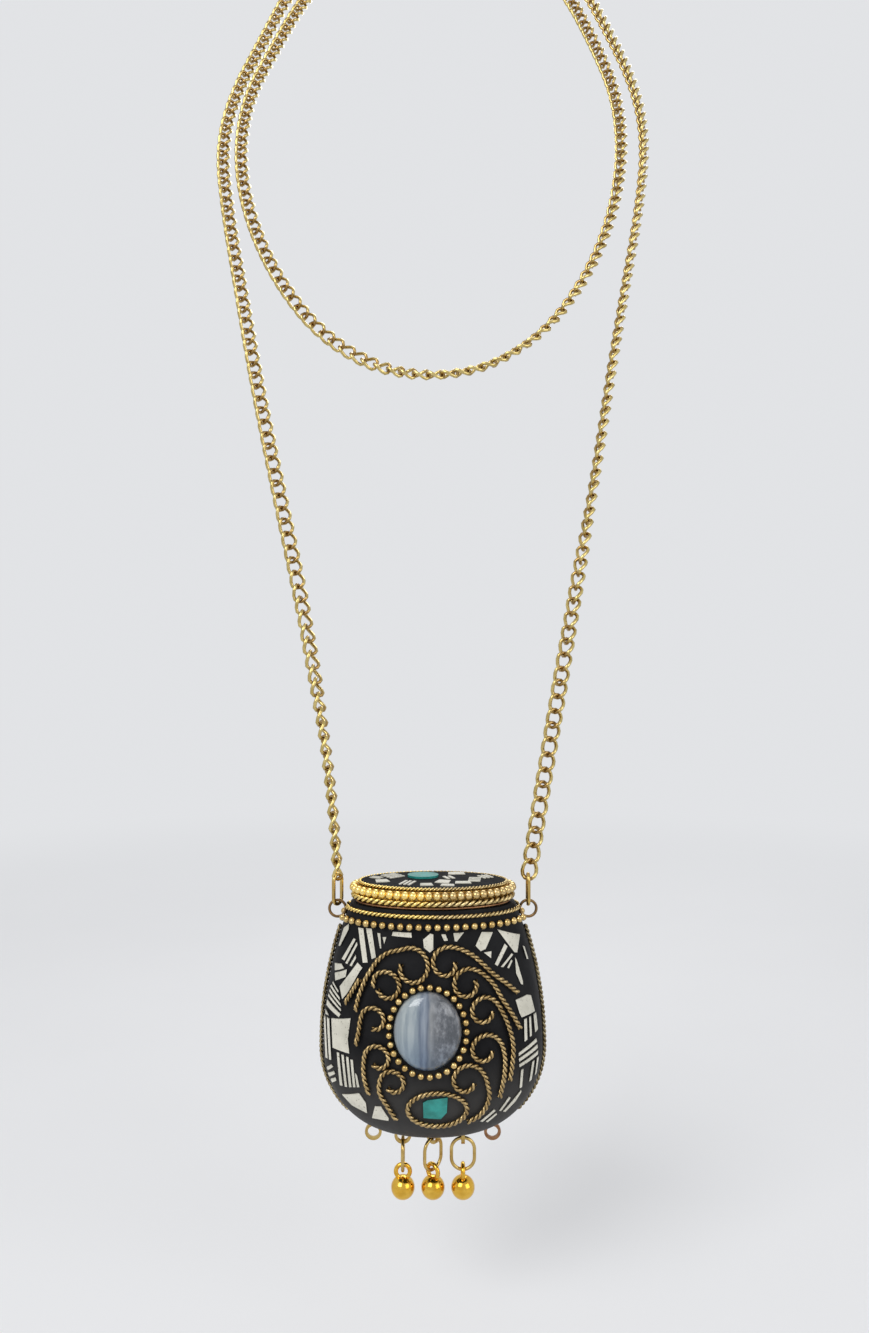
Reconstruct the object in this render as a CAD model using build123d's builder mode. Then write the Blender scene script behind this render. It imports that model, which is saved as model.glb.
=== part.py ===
from build123d import *
import os
from math import atan2, cos, radians, sin, sqrt

os.makedirs("parts", exist_ok=True)

# Where the box hangs: forward of the nape of the neck, and below it
BOX_FORWARD = 135.0
BOX_DROP = 342.0
BOX = Pos(0, -BOX_FORWARD, -BOX_DROP)

# Case: a pot-bellied oval flask of brass sheet under a skin of black resin
CASE_NECK_R = 20.4  # half width at the mouth
CASE_BELLY_R = 27.4  # half width at the belly
CASE_FOOT_R = 9.0  # half width of the flat foot
CASE_HEIGHT = 56.5
BELLY_DROP = 36.0  # from the mouth down to the widest place
DEPTH_RATIO = 0.56  # depth of the case over its width
RESIN = 1.4
SHEET = 0.9
GLUE = 0.02  # film between the sheet and the resin

# Mouth, collar and lid
MOUTH_A = 17.95  # half width and half depth of the mouth's hole
MOUTH_B = 9.75
COLLAR_WALL = 0.6
COLLAR_RISE = 3.2
COLLAR_DEPTH = 3.0
SOLDER = 0.05  # film of solder between trim and what carries it
LID_PLAY = 0.15  # round the collar
LID_SEAT = 0.1  # between the lid and the case
LID_WALL = 0.75
LID_TOP = 0.8
LID_HEIGHT = 4.4
LID_RESIN = 0.8
LID_A = MOUTH_A - SOLDER + LID_PLAY + LID_WALL
LID_B = MOUTH_B - SOLDER + LID_PLAY + LID_WALL

# Trim wires and grains
ROPE_D = 1.7  # twisted wire round the lid
LIP_D = 0.6  # plain wire along the lid's lower edge
LID_GRAIN_D = 2.0
LID_GRAINS = 46
FRAME_D = 0.9  # twisted wire round the lid's top
NECK_ROPE_D = 1.2
NECK_ROPE_DROP = 1.2
NECK_GRAIN_D = 1.7
NECK_GRAINS = 46
NECK_GRAIN_DROP = 3.4
SIDE_GAP = 6.0  # degrees each side of a side ring that the neck's wire leaves free
EDGE_D = 1.2  # twisted wire down the case's sides
EDGE_TOP = 6.0
EDGE_END = 50.0  # degrees round the lower curve
SCROLL_D = 1.1
CHIP = 0.4  # how far the mosaic stands out of the resin at the sides
CHIP_LIFT = 0.25  # room under the scrolls, over the mosaic

# Hinge at the back of the mouth
KNUCKLE_R = 1.0
PIN_R = 0.4
PIN_PLAY = 0.05
HINGE_WIDTH = 10.0
LID_KNUCKLE = 3.6
KNUCKLE_GAP = 0.2
LEAF = 0.6
LEAF_DROP = 3.2
LEAF_RISE = 2.9
HINGE_Y = 12.9
HINGE_Z = 0.2
LEAF_BACK = 0.1  # the leaf's outer face, short of the pin's axis
HINGE_GAP = 18.0  # degrees each side of the hinge that trim leaves free

# Cabochon, its grains and the turquoise chips
STONE_X, STONE_Z = -1.2, -27.3
STONE_A, STONE_B = 8.0, 9.2
STONE_RISE = 3.2
STONE_DEPTH = 2.2  # of the girdle, before it is cut to the case's curve
STONE_GRAIN_D = 1.65
STONE_GRAINS = 29
STONE_GRAIN_GAP = 0.3
TURQUOISE_X, TURQUOISE_Z = 1.1, -46.0
TURQUOISE_CORNERS = [(-3.4, 1.7), (-2.3, 2.4), (2.4, 3.0), (2.2, -0.9), (0.8, -2.7), (-3.3, -2.4)]
TURQUOISE_RISE = 0.5
TURQUOISE_RING_A, TURQUOISE_RING_B = 7.0, 4.4
LID_TURQUOISE_X, LID_TURQUOISE_Y = -2.5, 3.5
LID_TURQUOISE_A, LID_TURQUOISE_B = 3.9, 3.2

# Rings at the case's sides, and the oval links that carry it
EYE_R = 2.05
EYE_D = 0.7
EYE_DROP = 2.0
OVAL_LENGTH = 7.45  # along the wire's centre line
OVAL_WIDTH = 3.05
OVAL_D = 0.95
OVAL_TURNS = {"left": 45.0, "right": 90.0}
LINK_PLAY = 0.15  # between two links at rest

# Rings under the foot and their ball charms
LOOP_PITCH = 7.5
LOOP_R = 2.1  # outside
LOOP_BORE_R = 1.4
LOOP_BAND = 0.9
SPARE_X = 14.2  # where the spare loops meet the rounded foot
CHARM_RING_LENGTH = 7.95
CHARM_RING_WIDTH = 5.75
CHARM_RING_D = 0.85
CHARM_PLAY = 0.3  # room in which the charms swing
BALL_R = 2.95
BALL_EYE_R = 1.75
BALL_EYE_D = 1.1
BALL_DROP = 3.95  # from the eye's centre to the ball's centre
CHARM_TURNS = {"left": 90.0, "middle": 45.0, "right": 0.0}

# Curb chain
CHAIN_PITCH = 3.9
CHAIN_D = 0.9
CHAIN_WIDTH = 3.5  # between the wire's centre lines
CHAIN_PLAY = 0.1
CHAIN_TWIST = 45.0
CHAIN_LENGTH = CHAIN_PITCH + CHAIN_D + CHAIN_PLAY
NECK_AXIS_Y = -50.0  # the upright line that the chain goes round

# Curls of twisted wire: the tail's points, then centre, radii, first angle and sweep of the spiral
LEFT_SCROLLS = [
    ([(-18.4, -23.6), (-17.9, -21.2), (-16.9, -18.2), (-15.2, -14.6), (-11.4, -10.0)],
     (-5.1, -12.7), 4.8, 2.5, 124, -320),
    ([(-14.2, -17.6)], (-10.9, -17.2), 3.5, 2.4, 143, -300),
    ([(-18.3, -31.5), (-17.6, -28.5)], (-14.0, -25.2), 3.1, 2.1, 180, -280),
    ([(-15.2, -43.0), (-16.3, -38.5)], (-12.9, -34.1), 3.4, 1.9, 190, -320),
    ([(-8.7, -49.0), (-10.4, -46.0), (-12.6, -42.0)], (-9.3, -39.6), 3.3, 1.9, 185, -320),
]
RIGHT_SCROLLS = [
    ([(20.4, -19.8), (17.6, -17.2), (14.6, -14.8), (11.7, -12.0), (8.8, -9.6)],
     (3.3, -11.7), 3.9, 2.0, 75, 290),
    ([(20.9, -28.2), (19.3, -25.1), (16.7, -20.9), (13.4, -15.8)], (8.2, -16.6), 3.7, 2.0, 75, 310),
    ([(18.3, -40.0), (18.9, -36.0), (19.1, -31.7), (17.8, -26.5), (16.4, -23.4)],
     (12.1, -22.9), 3.4, 2.2, 32, 318),
    ([(15.9, -43.9), (17.0, -38.0), (16.9, -33.0)], (12.3, -32.0), 4.0, 1.9, 25, 320),
    ([(8.2, -49.6), (11.2, -47.9), (13.3, -43.8), (13.0, -40.4)], (8.0, -38.9), 4.2, 2.0, 25, 310),
]
LEFT_BORDER = [(-17.5, -16.3), (-19.2, -19.2), (-21.0, -22.3)]
CURL_STEP = 40.0  # degrees between the points of a spiral
RING_STEPS = 16  # points round the ring of the turquoise
WIRE_JOINT = 2.0  # degrees left open where a ring's ends meet

# Mosaic on the front: the corners of each white chip, and of each white bar of the striped ones
WHITE_CHIPS = [
    [(-20.6, -4.6), (-20.6, -5.8), (-22.8, -10.2), (-23.2, -10.2), (-22.0, -6.1)],
    [(-9.5, -4.9), (-5.1, -4.9), (-5.0, -6.0), (-9.8, -5.8)],
    [(-0.6, -5.0), (0.1, -5.2), (0.1, -8.6), (-0.7, -9.3), (-2.1, -8.2), (-2.3, -6.4)],
    [(4.9, -5.0), (7.4, -4.9), (5.7, -6.9), (5.2, -6.8)],
    [(11.7, -5.1), (14.4, -5.4), (12.6, -9.0), (11.4, -9.4), (10.2, -8.1)],
    [(12.2, -9.8), (14.0, -9.7), (13.9, -11.2)],
    [(15.5, -4.9), (21.3, -7.2), (20.5, -10.9), (19.8, -10.8)],
    [(19.9, -12.0), (20.3, -12.6), (21.8, -17.8), (21.8, -18.5), (21.3, -18.3), (20.1, -15.6)],
    [(22.0, -9.9), (22.5, -10.3), (23.4, -13.2), (23.0, -13.1)],
    [(-24.1, -14.5), (-22.2, -14.0), (-21.6, -14.8), (-24.0, -16.0)],
    [(-24.0, -16.6), (-20.8, -14.9), (-21.1, -16.6), (-23.8, -18.2)],
    [(-18.1, -12.8), (-16.9, -13.8), (-17.6, -14.8), (-20.6, -20.2), (-21.9, -21.9), (-22.6, -19.2)],
    [(19.9, -21.7), (22.8, -21.2), (23.9, -21.7), (24.9, -25.6), (21.4, -26.0), (20.8, -24.8)],
    [(-24.7, -27.3), (-19.7, -25.9), (-20.4, -30.9), (-20.0, -34.2), (-24.3, -34.0)],
    [(-22.0, -45.4), (-17.6, -43.6), (-16.0, -45.9), (-15.8, -48.8), (-19.6, -47.6)],
    [(-13.8, -46.4), (-12.3, -46.2), (-10.5, -49.3), (-10.6, -50.0), (-14.6, -50.0)],
    [(21.3, -43.8), (21.4, -44.3), (20.0, -46.5), (17.5, -48.9), (16.9, -48.6)],
]
STRIPED_CHIPS = [
    [(-19.2, -7.5), (-18.7, -7.7), (-21.5, -13.0), (-22.2, -12.8)],
    [(-18.4, -8.2), (-18.2, -8.8), (-20.7, -13.6), (-21.2, -13.5)],
    [(-18.6, -11.1), (-18.5, -11.8), (-19.6, -13.9), (-20.1, -13.8)],
    [(-18.1, -4.9), (-16.8, -4.9), (-15.6, -12.4), (-16.8, -12.6)],
    [(-16.1, -4.7), (-14.7, -4.7), (-13.6, -11.0), (-14.6, -11.5)],
    [(-13.3, -5.5), (-12.6, -5.5), (-12.3, -8.8), (-12.6, -8.9)],
    [(-12.0, -6.3), (-11.1, -6.2), (-11.6, -7.8)],
    [(2.0, -5.2), (3.0, -5.2), (3.6, -6.6), (2.7, -6.7)],
    [(17.3, -8.4), (18.0, -9.1), (15.5, -13.2), (14.8, -12.7)],
    [(19.0, -10.9), (19.4, -11.2), (16.9, -13.6), (16.3, -13.5)],
    [(18.9, -12.3), (19.2, -12.6), (18.3, -14.1), (17.9, -13.9)],
    [(-24.6, -19.0), (-24.4, -18.7), (-22.9, -20.3), (-23.0, -20.7)],
    [(-25.2, -20.1), (-24.9, -19.6), (-22.6, -21.7), (-22.5, -22.3)],
    [(-25.5, -21.3), (-25.3, -20.8), (-22.3, -23.1), (-22.2, -23.7)],
    [(-25.8, -22.5), (-25.6, -22.0), (-22.2, -24.3), (-22.2, -24.8)],
    [(-26.2, -24.8), (-26.0, -23.5), (-22.3, -25.5), (-22.7, -26.3)],
    [(-26.4, -25.9), (-25.5, -26.9), (-26.5, -27.0)],
    [(-26.9, -28.0), (-26.4, -28.0), (-25.7, -37.3), (-26.3, -37.4)],
    [(-26.0, -27.7), (-25.3, -27.7), (-24.7, -37.2), (-25.3, -37.3)],
    [(-23.2, -34.8), (-22.6, -34.8), (-21.8, -42.8), (-22.5, -42.9)],
    [(-22.0, -35.0), (-21.4, -35.0), (-20.6, -42.7), (-21.2, -42.8)],
    [(-20.8, -35.2), (-20.2, -35.2), (-19.5, -42.4), (-20.1, -42.6)],
    [(-19.7, -35.6), (-19.1, -35.6), (-18.5, -42.2), (-19.1, -42.3)],
    [(-18.6, -38.6), (-18.1, -39.0), (-17.5, -41.9), (-18.1, -42.1)],
    [(-24.7, -38.4), (-24.2, -38.7), (-25.7, -40.4), (-26.0, -39.9)],
    [(-24.0, -39.8), (-23.7, -40.3), (-25.3, -41.9), (-25.7, -41.3)],
    [(-23.6, -41.3), (-23.4, -42.0), (-24.6, -43.2), (-25.0, -42.6)],
    [(22.0, -26.7), (22.7, -26.6), (22.8, -31.6), (22.1, -31.9)],
    [(23.3, -26.5), (23.8, -26.4), (24.0, -31.0), (23.5, -31.2)],
    [(24.5, -26.3), (25.2, -26.1), (25.7, -30.2), (24.9, -30.6)],
    [(20.6, -34.2), (25.2, -32.2), (25.4, -33.0), (20.6, -34.9)],
    [(20.6, -35.6), (25.5, -33.8), (25.6, -34.6), (20.7, -36.3)],
    [(20.7, -37.0), (25.7, -35.4), (25.6, -36.2), (20.8, -37.7)],
    [(21.2, -38.5), (21.8, -38.4), (21.5, -43.0), (20.9, -43.1)],
    [(24.1, -37.5), (24.7, -37.3), (24.0, -42.0), (23.4, -42.3)],
    [(25.4, -37.1), (25.9, -37.0), (25.3, -41.0), (24.9, -41.3)],
    [(18.2, -44.8), (18.7, -45.1), (16.4, -48.3), (15.9, -48.1)],
    [(14.6, -47.4), (15.0, -47.9), (11.9, -50.6), (11.3, -50.3)],
    [(15.2, -48.6), (15.4, -49.1), (13.2, -51.0), (12.7, -50.7)],
]
# Mosaic elsewhere: centre, width, height and turn of each white chip, and the bars of a striped one
BACK_WHITE_CHIPS = [
    (-9.0, -14.0, 4.6, 5.2, 10), (1.5, -12.6, 3.8, 4.4, -14), (10.4, -17.4, 4.2, 5.6, 22),
    (-13.0, -24.0, 4.0, 6.0, -18), (-2.2, -22.4, 5.0, 4.2, 6), (6.6, -27.4, 4.4, 5.4, -8),
    (15.4, -28.2, 3.6, 5.0, 14), (-9.2, -34.4, 5.0, 4.6, 24), (1.8, -36.8, 4.0, 5.2, -20),
    (12.0, -38.4, 4.6, 4.2, 10), (-3.8, -46.4, 5.0, 4.0, -6), (6.6, -46.6, 3.6, 4.4, 16),
]
BACK_STRIPED_CHIPS = [
    (-4.2, -17.4, 3.4, 3.8, 40, 3), (5.2, -19.6, 3.6, 5.0, -30, 3), (-7.6, -28.4, 3.6, 4.6, 62, 3),
    (0.8, -30.0, 3.4, 5.0, 12, 3), (10.6, -32.8, 3.6, 4.0, -42, 3), (-14.6, -31.6, 3.2, 5.4, 8, 3),
    (-4.0, -40.6, 3.4, 4.4, -52, 3), (6.6, -41.0, 3.2, 3.8, 34, 3), (-10.8, -41.4, 3.4, 4.6, 0, 3),
]
LID_WHITE_CHIPS = [
    (6.0, 6.6, 4.4, 2.4, 4), (2.6, -3.2, 3.6, 3.2, -16), (7.4, -4.2, 4.0, 2.2, 2),
    (-1.6, -6.6, 3.2, 2.4, 6), (3.6, -7.2, 3.4, 1.8, -6), (-12.6, -2.4, 3.4, 2.8, 14),
]
LID_STRIPED_CHIPS = [
    (-10.2, 3.6, 5.0, 4.4, -52, 4), (10.4, -0.8, 5.2, 3.0, 84, 3), (-6.2, -4.6, 3.4, 4.4, -20, 3),
    (13.2, 2.6, 3.2, 3.4, 30, 3), (-14.2, 1.6, 2.4, 3.0, 60, 2), (4.0, 1.6, 2.8, 3.0, 24, 2),
]
BAR_SHARE = 0.55  # white part of each stripe
CHIP_TAPER = 84.0  # lean of a white chip's sides, in degrees

# Route of the chain, from the left oval link to the right one, relative to the case's mouth
LEFT_STRAND = [
    (-25.2, 3, 24), (-29.8, 11, 50), (-35.8, 20, 78), (-43.3, 28, 109), (-50.8, 37, 141),
    (-57.3, 48, 171), (-63.2, 58, 198), (-67.4, 68, 223), (-65.4, 79, 246), (-58.6, 91, 270),
    (-50.4, 103, 297), (-39.4, 117, 322), (-22.0, 129, 338),
]
NECK_LOOP = [
    (0, 135, 344), (20.0, 126, 334), (36.6, 114, 317), (47.5, 102, 295), (55.0, 90, 270),
    (60.2, 78, 246), (60.2, 67, 221), (55.0, 57, 196), (45.2, 48, 173), (31.0, 42, 154),
    (11.5, 40, 143), (-12.0, 40, 143), (-31.4, 43, 154), (-46.0, 49, 173), (-56.4, 57, 196),
    (-61.4, 66, 220), (-60.6, 78, 245), (-54.0, 89, 267), (-46.4, 101, 291), (-35.6, 114, 314),
    (-20.0, 126, 330),
]
RIGHT_STRAND = [
    (0, 139, 337), (22.0, 134, 341), (39.4, 120, 328), (51.5, 105, 303), (60.5, 91.5, 274),
    (66.4, 78, 248), (67.6, 68, 225), (63.4, 58, 199), (57.4, 48, 172), (51.4, 38, 144),
    (45.4, 29, 112), (39.0, 21, 81), (33.0, 12, 52), (27.4, 4, 25),
]


def case_radius(z):
    """Half width of the resin at height z, which is below the mouth."""
    below_belly = -BELLY_DROP - z
    if below_belly > 0:
        share = below_belly / (CASE_HEIGHT - BELLY_DROP)
        return CASE_FOOT_R + (CASE_BELLY_R - CASE_FOOT_R) * sqrt(max(1 - share**2, 0))
    swell = CASE_BELLY_R - CASE_NECK_R
    bend = (BELLY_DROP**2 + swell**2) / (2 * swell)
    return CASE_BELLY_R - bend + sqrt(bend**2 - below_belly**2)


def steepness(z, depth):
    """Length of the wall over its rise at height z, where the case is depth times as deep as wide."""
    slope = (case_radius(z + SHEET) - case_radius(z - SHEET)) / (2 * SHEET)
    return sqrt(1 + (depth * slope) ** 2)


def on_front(x, z, lift):
    """The point of the case's front at x and z, raised by lift."""
    reach = case_radius(z) + lift * steepness(z, DEPTH_RATIO) / DEPTH_RATIO
    return Vector(x, -DEPTH_RATIO * sqrt(reach**2 - x**2), z)


def flask(grow, top=0.0):
    """A solid of the case's form, its wall moved outwards by grow and cut level at top."""
    belly = (CASE_BELLY_R + grow, -BELLY_DROP)
    foot = -CASE_HEIGHT - grow
    with BuildPart() as form:
        with BuildSketch(Plane.XZ):
            with BuildLine():
                upper = TangentArc(belly, (CASE_NECK_R + grow, 0), tangent=(0, 1))
                lower = EllipticalCenterArc(
                    (CASE_FOOT_R, -BELLY_DROP),
                    CASE_BELLY_R + grow - CASE_FOOT_R,
                    -BELLY_DROP - foot,
                    start_angle=270,
                    arc_size=90,
                )
                Polyline(lower @ 0, (0, foot), (0, 0), upper @ 1)
            make_face()
        revolve(axis=Axis.Z)
        if top < 0:
            split(bisect_by=Plane.XY.offset(top), keep=Keep.BOTTOM)
        scale(by=(1, DEPTH_RATIO, 1))
    return form.part


def save(piece, name, place=BOX):
    """Label a finished piece and write it where it hangs."""
    placed = place * piece
    placed.label = name
    export_step(placed, f"parts/{name}.step")
    return placed


def copies(piece, places):
    """Separate copies of one solid."""
    return Compound([place * piece for place in places])


def oval_places(half_width, half_depth, height, count, gap):
    """Even places round an oval, apart from gap degrees each side of the hinge."""
    ring = EllipticalCenterArc((0, 0), half_width, half_depth, 90 + gap, arc_size=360 - 2 * gap)
    return [Pos(*(ring @ ((k + 0.5) / count))) * Pos(0, 0, height) for k in range(count)]


def oval_wire(half_width, half_depth, height, diameter, spans):
    """Round wires along an oval, one for each span of angles."""
    wires = []
    for first, last in spans:
        with BuildPart() as wire:
            with BuildLine(Plane.XY.offset(height)) as path:
                EllipticalCenterArc((0, 0), half_width, half_depth, first, arc_size=last - first)
            with BuildSketch(Plane(origin=path.line @ 0, z_dir=path.line % 0)):
                Circle(diameter / 2)
            sweep()
        wires.append(wire.part)
    return Compound(wires)


def scroll_points(tail, centre, first_r, last_r, start, turn):
    """The points of a tail and its spiral, in the plane of the front."""
    steps = round(abs(turn) / CURL_STEP)
    points = list(tail)
    for k in range(steps + 1):
        angle = radians(start + turn * k / steps)
        radius = first_r + (last_r - first_r) * k / steps
        points.append((centre[0] + radius * cos(angle), centre[1] + radius * sin(angle)))
    return points


def front_wire(points, diameter):
    """A round wire laid on the case's front through the points."""
    lift = diameter / 2 + CHIP_LIFT
    with BuildPart() as wire:
        with BuildLine() as path:
            Spline(*[on_front(x, z, lift) for x, z in points])
        with BuildSketch(Plane(origin=path.line @ 0, z_dir=path.line % 0)):
            Circle(diameter / 2)
        sweep()
    return wire.part


def stadium_link(length, width, diameter):
    """An oval link standing in the plane XZ, its lower bow's centre line through the origin."""
    bow = width / 2
    with BuildPart() as link:
        with BuildLine(Plane.XZ):
            lower = CenterArc((0, bow), bow, 270, 90)
            Line(lower @ 1, (bow, length - bow))
            CenterArc((0, length - bow), bow, 0, 90)
        with BuildSketch(Plane.YZ):
            Circle(diameter / 2)
        sweep()
        mirror(about=Plane.YZ)
    return link.part


# Brass case, open at the mouth
with BuildPart() as case_body:
    add(flask(-RESIN))
    add(flask(-RESIN - SHEET, -SHEET), mode=Mode.SUBTRACT)
    with BuildSketch():
        Ellipse(MOUTH_A, MOUTH_B)
    extrude(amount=-2 * SHEET, mode=Mode.SUBTRACT)
save(case_body.part, "case_body")

# Collar soldered in the mouth, which the lid slips over
with BuildPart() as neck_collar:
    with BuildSketch(Plane.XY.offset(-COLLAR_DEPTH)):
        Ellipse(MOUTH_A - SOLDER, MOUTH_B - SOLDER)
        Ellipse(MOUTH_A - SOLDER - COLLAR_WALL, MOUTH_B - SOLDER - COLLAR_WALL, mode=Mode.SUBTRACT)
    extrude(amount=COLLAR_DEPTH + COLLAR_RISE)
save(neck_collar.part, "neck_collar")

# Black resin skin, with beds for the cabochon and the turquoise
FRONT = Plane.XZ
STONE_FRONT = on_front(STONE_X, STONE_Z, 0)
with BuildPart() as resin_ground:
    add(flask(0))
    add(flask(-RESIN + GLUE), mode=Mode.SUBTRACT)
    with BuildSketch(FRONT):
        with Locations((STONE_X, STONE_Z)):
            Ellipse(STONE_A + SOLDER, STONE_B + SOLDER)
    extrude(amount=CASE_BELLY_R, mode=Mode.SUBTRACT)
    with BuildSketch(FRONT):
        with Locations((TURQUOISE_X, TURQUOISE_Z)):
            Polygon(*TURQUOISE_CORNERS, align=None)
        offset(amount=SOLDER, kind=Kind.INTERSECTION)
    extrude(amount=CASE_BELLY_R, mode=Mode.SUBTRACT)
save(resin_ground.part, "resin_ground")

# Mosaic: prisms through the thin layer over the resin
chip_layer = flask(CHIP) - flask(GLUE)


def bars(row):
    """The white bars of one striped chip, as rows of centre, width, height and turn."""
    x, z, width, height, turn, count = row
    step = width / count
    return [
        (x + (k - (count - 1) / 2) * step * cos(radians(turn)),
         z + (k - (count - 1) / 2) * step * sin(radians(turn)), step * BAR_SHARE, height, turn)
        for k in range(count)
    ]


def chip_prisms(rows, plane, depth, taper):
    """One prism for each row, standing on the plane."""
    with BuildPart() as prisms:
        with BuildSketch(plane):
            for x, y, width, height, turn in rows:
                with Locations(Pos(x, y) * Rot(Z=turn)):
                    Trapezoid(width, height, taper)
        extrude(amount=depth)
    return prisms.part


def corner_prisms(chips, depth):
    """One prism for each chip that is given by its corners, standing on the plane of the front."""
    with BuildPart() as prisms:
        with BuildSketch(FRONT):
            for corners in chips:
                Polygon(*corners, align=None)
        extrude(amount=depth)
    return prisms.part


def case_chips(front_chips, back_rows, taper):
    """Mosaic on the front of the case, the same on its back, and the rows in the back's middle."""
    mirrored = [[(-x, z) for x, z in corners] for corners in front_chips]
    groups = [
        corner_prisms(front_chips, CASE_BELLY_R),
        corner_prisms(mirrored, -CASE_BELLY_R),
        chip_prisms(back_rows, FRONT, -CASE_BELLY_R, taper),
    ]
    return Compound([chip for group in groups for chip in (chip_layer & group).solids()])


save(case_chips(WHITE_CHIPS, BACK_WHITE_CHIPS, CHIP_TAPER), "white_chips")
back_bars = [bar for row in BACK_STRIPED_CHIPS for bar in bars(row)]
save(case_chips(STRIPED_CHIPS, back_bars, 90), "striped_chips")

# Twisted wire down each side of the case, in the plane of its widest outline
with BuildPart() as edge_wire:
    with BuildLine(Plane.XZ) as side:
        lift = EDGE_D / 2 + CHIP + SOLDER
        top = (case_radius(-EDGE_TOP) + lift, -EDGE_TOP)
        belly = (CASE_BELLY_R + lift, -BELLY_DROP)
        TangentArc(belly, top, tangent=(0, 1))
        EllipticalCenterArc(
            (CASE_FOOT_R, -BELLY_DROP),
            belly[0] - CASE_FOOT_R,
            CASE_HEIGHT - BELLY_DROP + lift,
            start_angle=360 - EDGE_END,
            arc_size=EDGE_END,
        )
    with BuildSketch(Plane(origin=side.wires()[0] @ 0, z_dir=side.wires()[0] % 0)):
        Circle(EDGE_D / 2)
    sweep(path=side.wires()[0])
    mirror(about=Plane.YZ)
save(edge_wire.part, "edge_wires")

# Cabochon: an oval dome on a girdle that is bedded in the resin
with BuildPart() as stone_dome:
    Sphere(1)
    split(bisect_by=Plane.XZ, keep=Keep.TOP)
    scale(by=(STONE_A, STONE_RISE, STONE_B))
    with BuildSketch(Plane.XZ):
        Ellipse(STONE_A, STONE_B)
    extrude(amount=-STONE_DEPTH)
with BuildPart() as cabochon:
    with Locations((STONE_X, STONE_FRONT.Y, STONE_Z)):
        add(stone_dome.part)
    add(flask(-RESIN + 2 * GLUE), mode=Mode.SUBTRACT)
save(cabochon.part, "cabochon")

# Ring of grains round the cabochon
with BuildPart() as stone_grain:
    Sphere(STONE_GRAIN_D / 2)
grain_reach = STONE_GRAIN_GAP + STONE_GRAIN_D / 2
grain_ring = EllipticalCenterArc((0, 0), STONE_A + grain_reach, STONE_B + grain_reach, arc_size=360)
grain_points = [grain_ring @ (k / STONE_GRAINS) for k in range(STONE_GRAINS)]
grain_seats = [
    on_front(STONE_X + p.X, STONE_Z + p.Y, STONE_GRAIN_D / 2 + SOLDER) for p in grain_points
]
save(copies(stone_grain.part, [Pos(*seat) for seat in grain_seats]), "cabochon_grains")

# Turquoise chip at the foot of the front, in its ring of twisted wire
with BuildPart() as turquoise:
    with BuildSketch(FRONT):
        with Locations((TURQUOISE_X, TURQUOISE_Z)):
            Polygon(*TURQUOISE_CORNERS, align=None)
    extrude(amount=CASE_BELLY_R)
    add(flask(TURQUOISE_RISE), mode=Mode.INTERSECT)
    add(flask(-RESIN + 2 * GLUE), mode=Mode.SUBTRACT)
save(turquoise.part, "turquoise_chip")
ring_points = []
for k in range(RING_STEPS + 1):
    angle = radians(WIRE_JOINT / 2 + (360 - WIRE_JOINT) * k / RING_STEPS - 90)
    ring_points.append(
        (TURQUOISE_X + TURQUOISE_RING_A * cos(angle), TURQUOISE_Z + TURQUOISE_RING_B * sin(angle))
    )
save(front_wire(ring_points, SCROLL_D), "turquoise_ring")

# Scrolls of twisted wire, left and right of the cabochon, and the left border
left_wires = [front_wire(scroll_points(*row), SCROLL_D) for row in LEFT_SCROLLS]
save(Compound(left_wires), "left_scrolls")
right_wires = [front_wire(scroll_points(*row), SCROLL_D) for row in RIGHT_SCROLLS]
save(Compound(right_wires), "right_scrolls")
save(front_wire(LEFT_BORDER, SCROLL_D), "left_border_wire")

# Grains and twisted wire round the neck, open at the hinge and at the side rings
neck_r = case_radius(-NECK_GRAIN_DROP)
grain_lift = NECK_GRAIN_D / 2 + CHIP + SOLDER
with BuildPart() as neck_grain:
    Sphere(NECK_GRAIN_D / 2)
ring_room = EYE_D / 2 + NECK_GRAIN_D / 2 + LINK_PLAY
neck_places = [
    place
    for place in oval_places(
        neck_r + grain_lift, DEPTH_RATIO * neck_r + grain_lift, -NECK_GRAIN_DROP, NECK_GRAINS, HINGE_GAP
    )
    if abs(place.position.Y) > ring_room
]
save(copies(neck_grain.part, neck_places), "neck_grains")
rope_r = case_radius(-NECK_ROPE_DROP)
rope_lift = (NECK_ROPE_D / 2 + SOLDER) * steepness(-NECK_ROPE_DROP, 1)
rope_spans = [
    (180 + SIDE_GAP, 360 - SIDE_GAP),
    (90 + HINGE_GAP, 180 - SIDE_GAP),
    (SIDE_GAP, 90 - HINGE_GAP),
]
neck_ropes = oval_wire(
    rope_r + rope_lift, DEPTH_RATIO * rope_r + rope_lift, -NECK_ROPE_DROP, NECK_ROPE_D, rope_spans
)
save(neck_ropes, "neck_ropes")

# Lid: a cap that slips over the collar
with BuildPart() as lid_shell:
    with BuildSketch(Plane.XY.offset(LID_SEAT)):
        Ellipse(LID_A, LID_B)
    extrude(amount=LID_HEIGHT - LID_SEAT)
    with BuildSketch(Plane.XY.offset(LID_SEAT)):
        Ellipse(LID_A - LID_WALL, LID_B - LID_WALL)
    extrude(amount=LID_HEIGHT - LID_SEAT - LID_TOP, mode=Mode.SUBTRACT)
save(lid_shell.part, "lid_shell")

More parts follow.
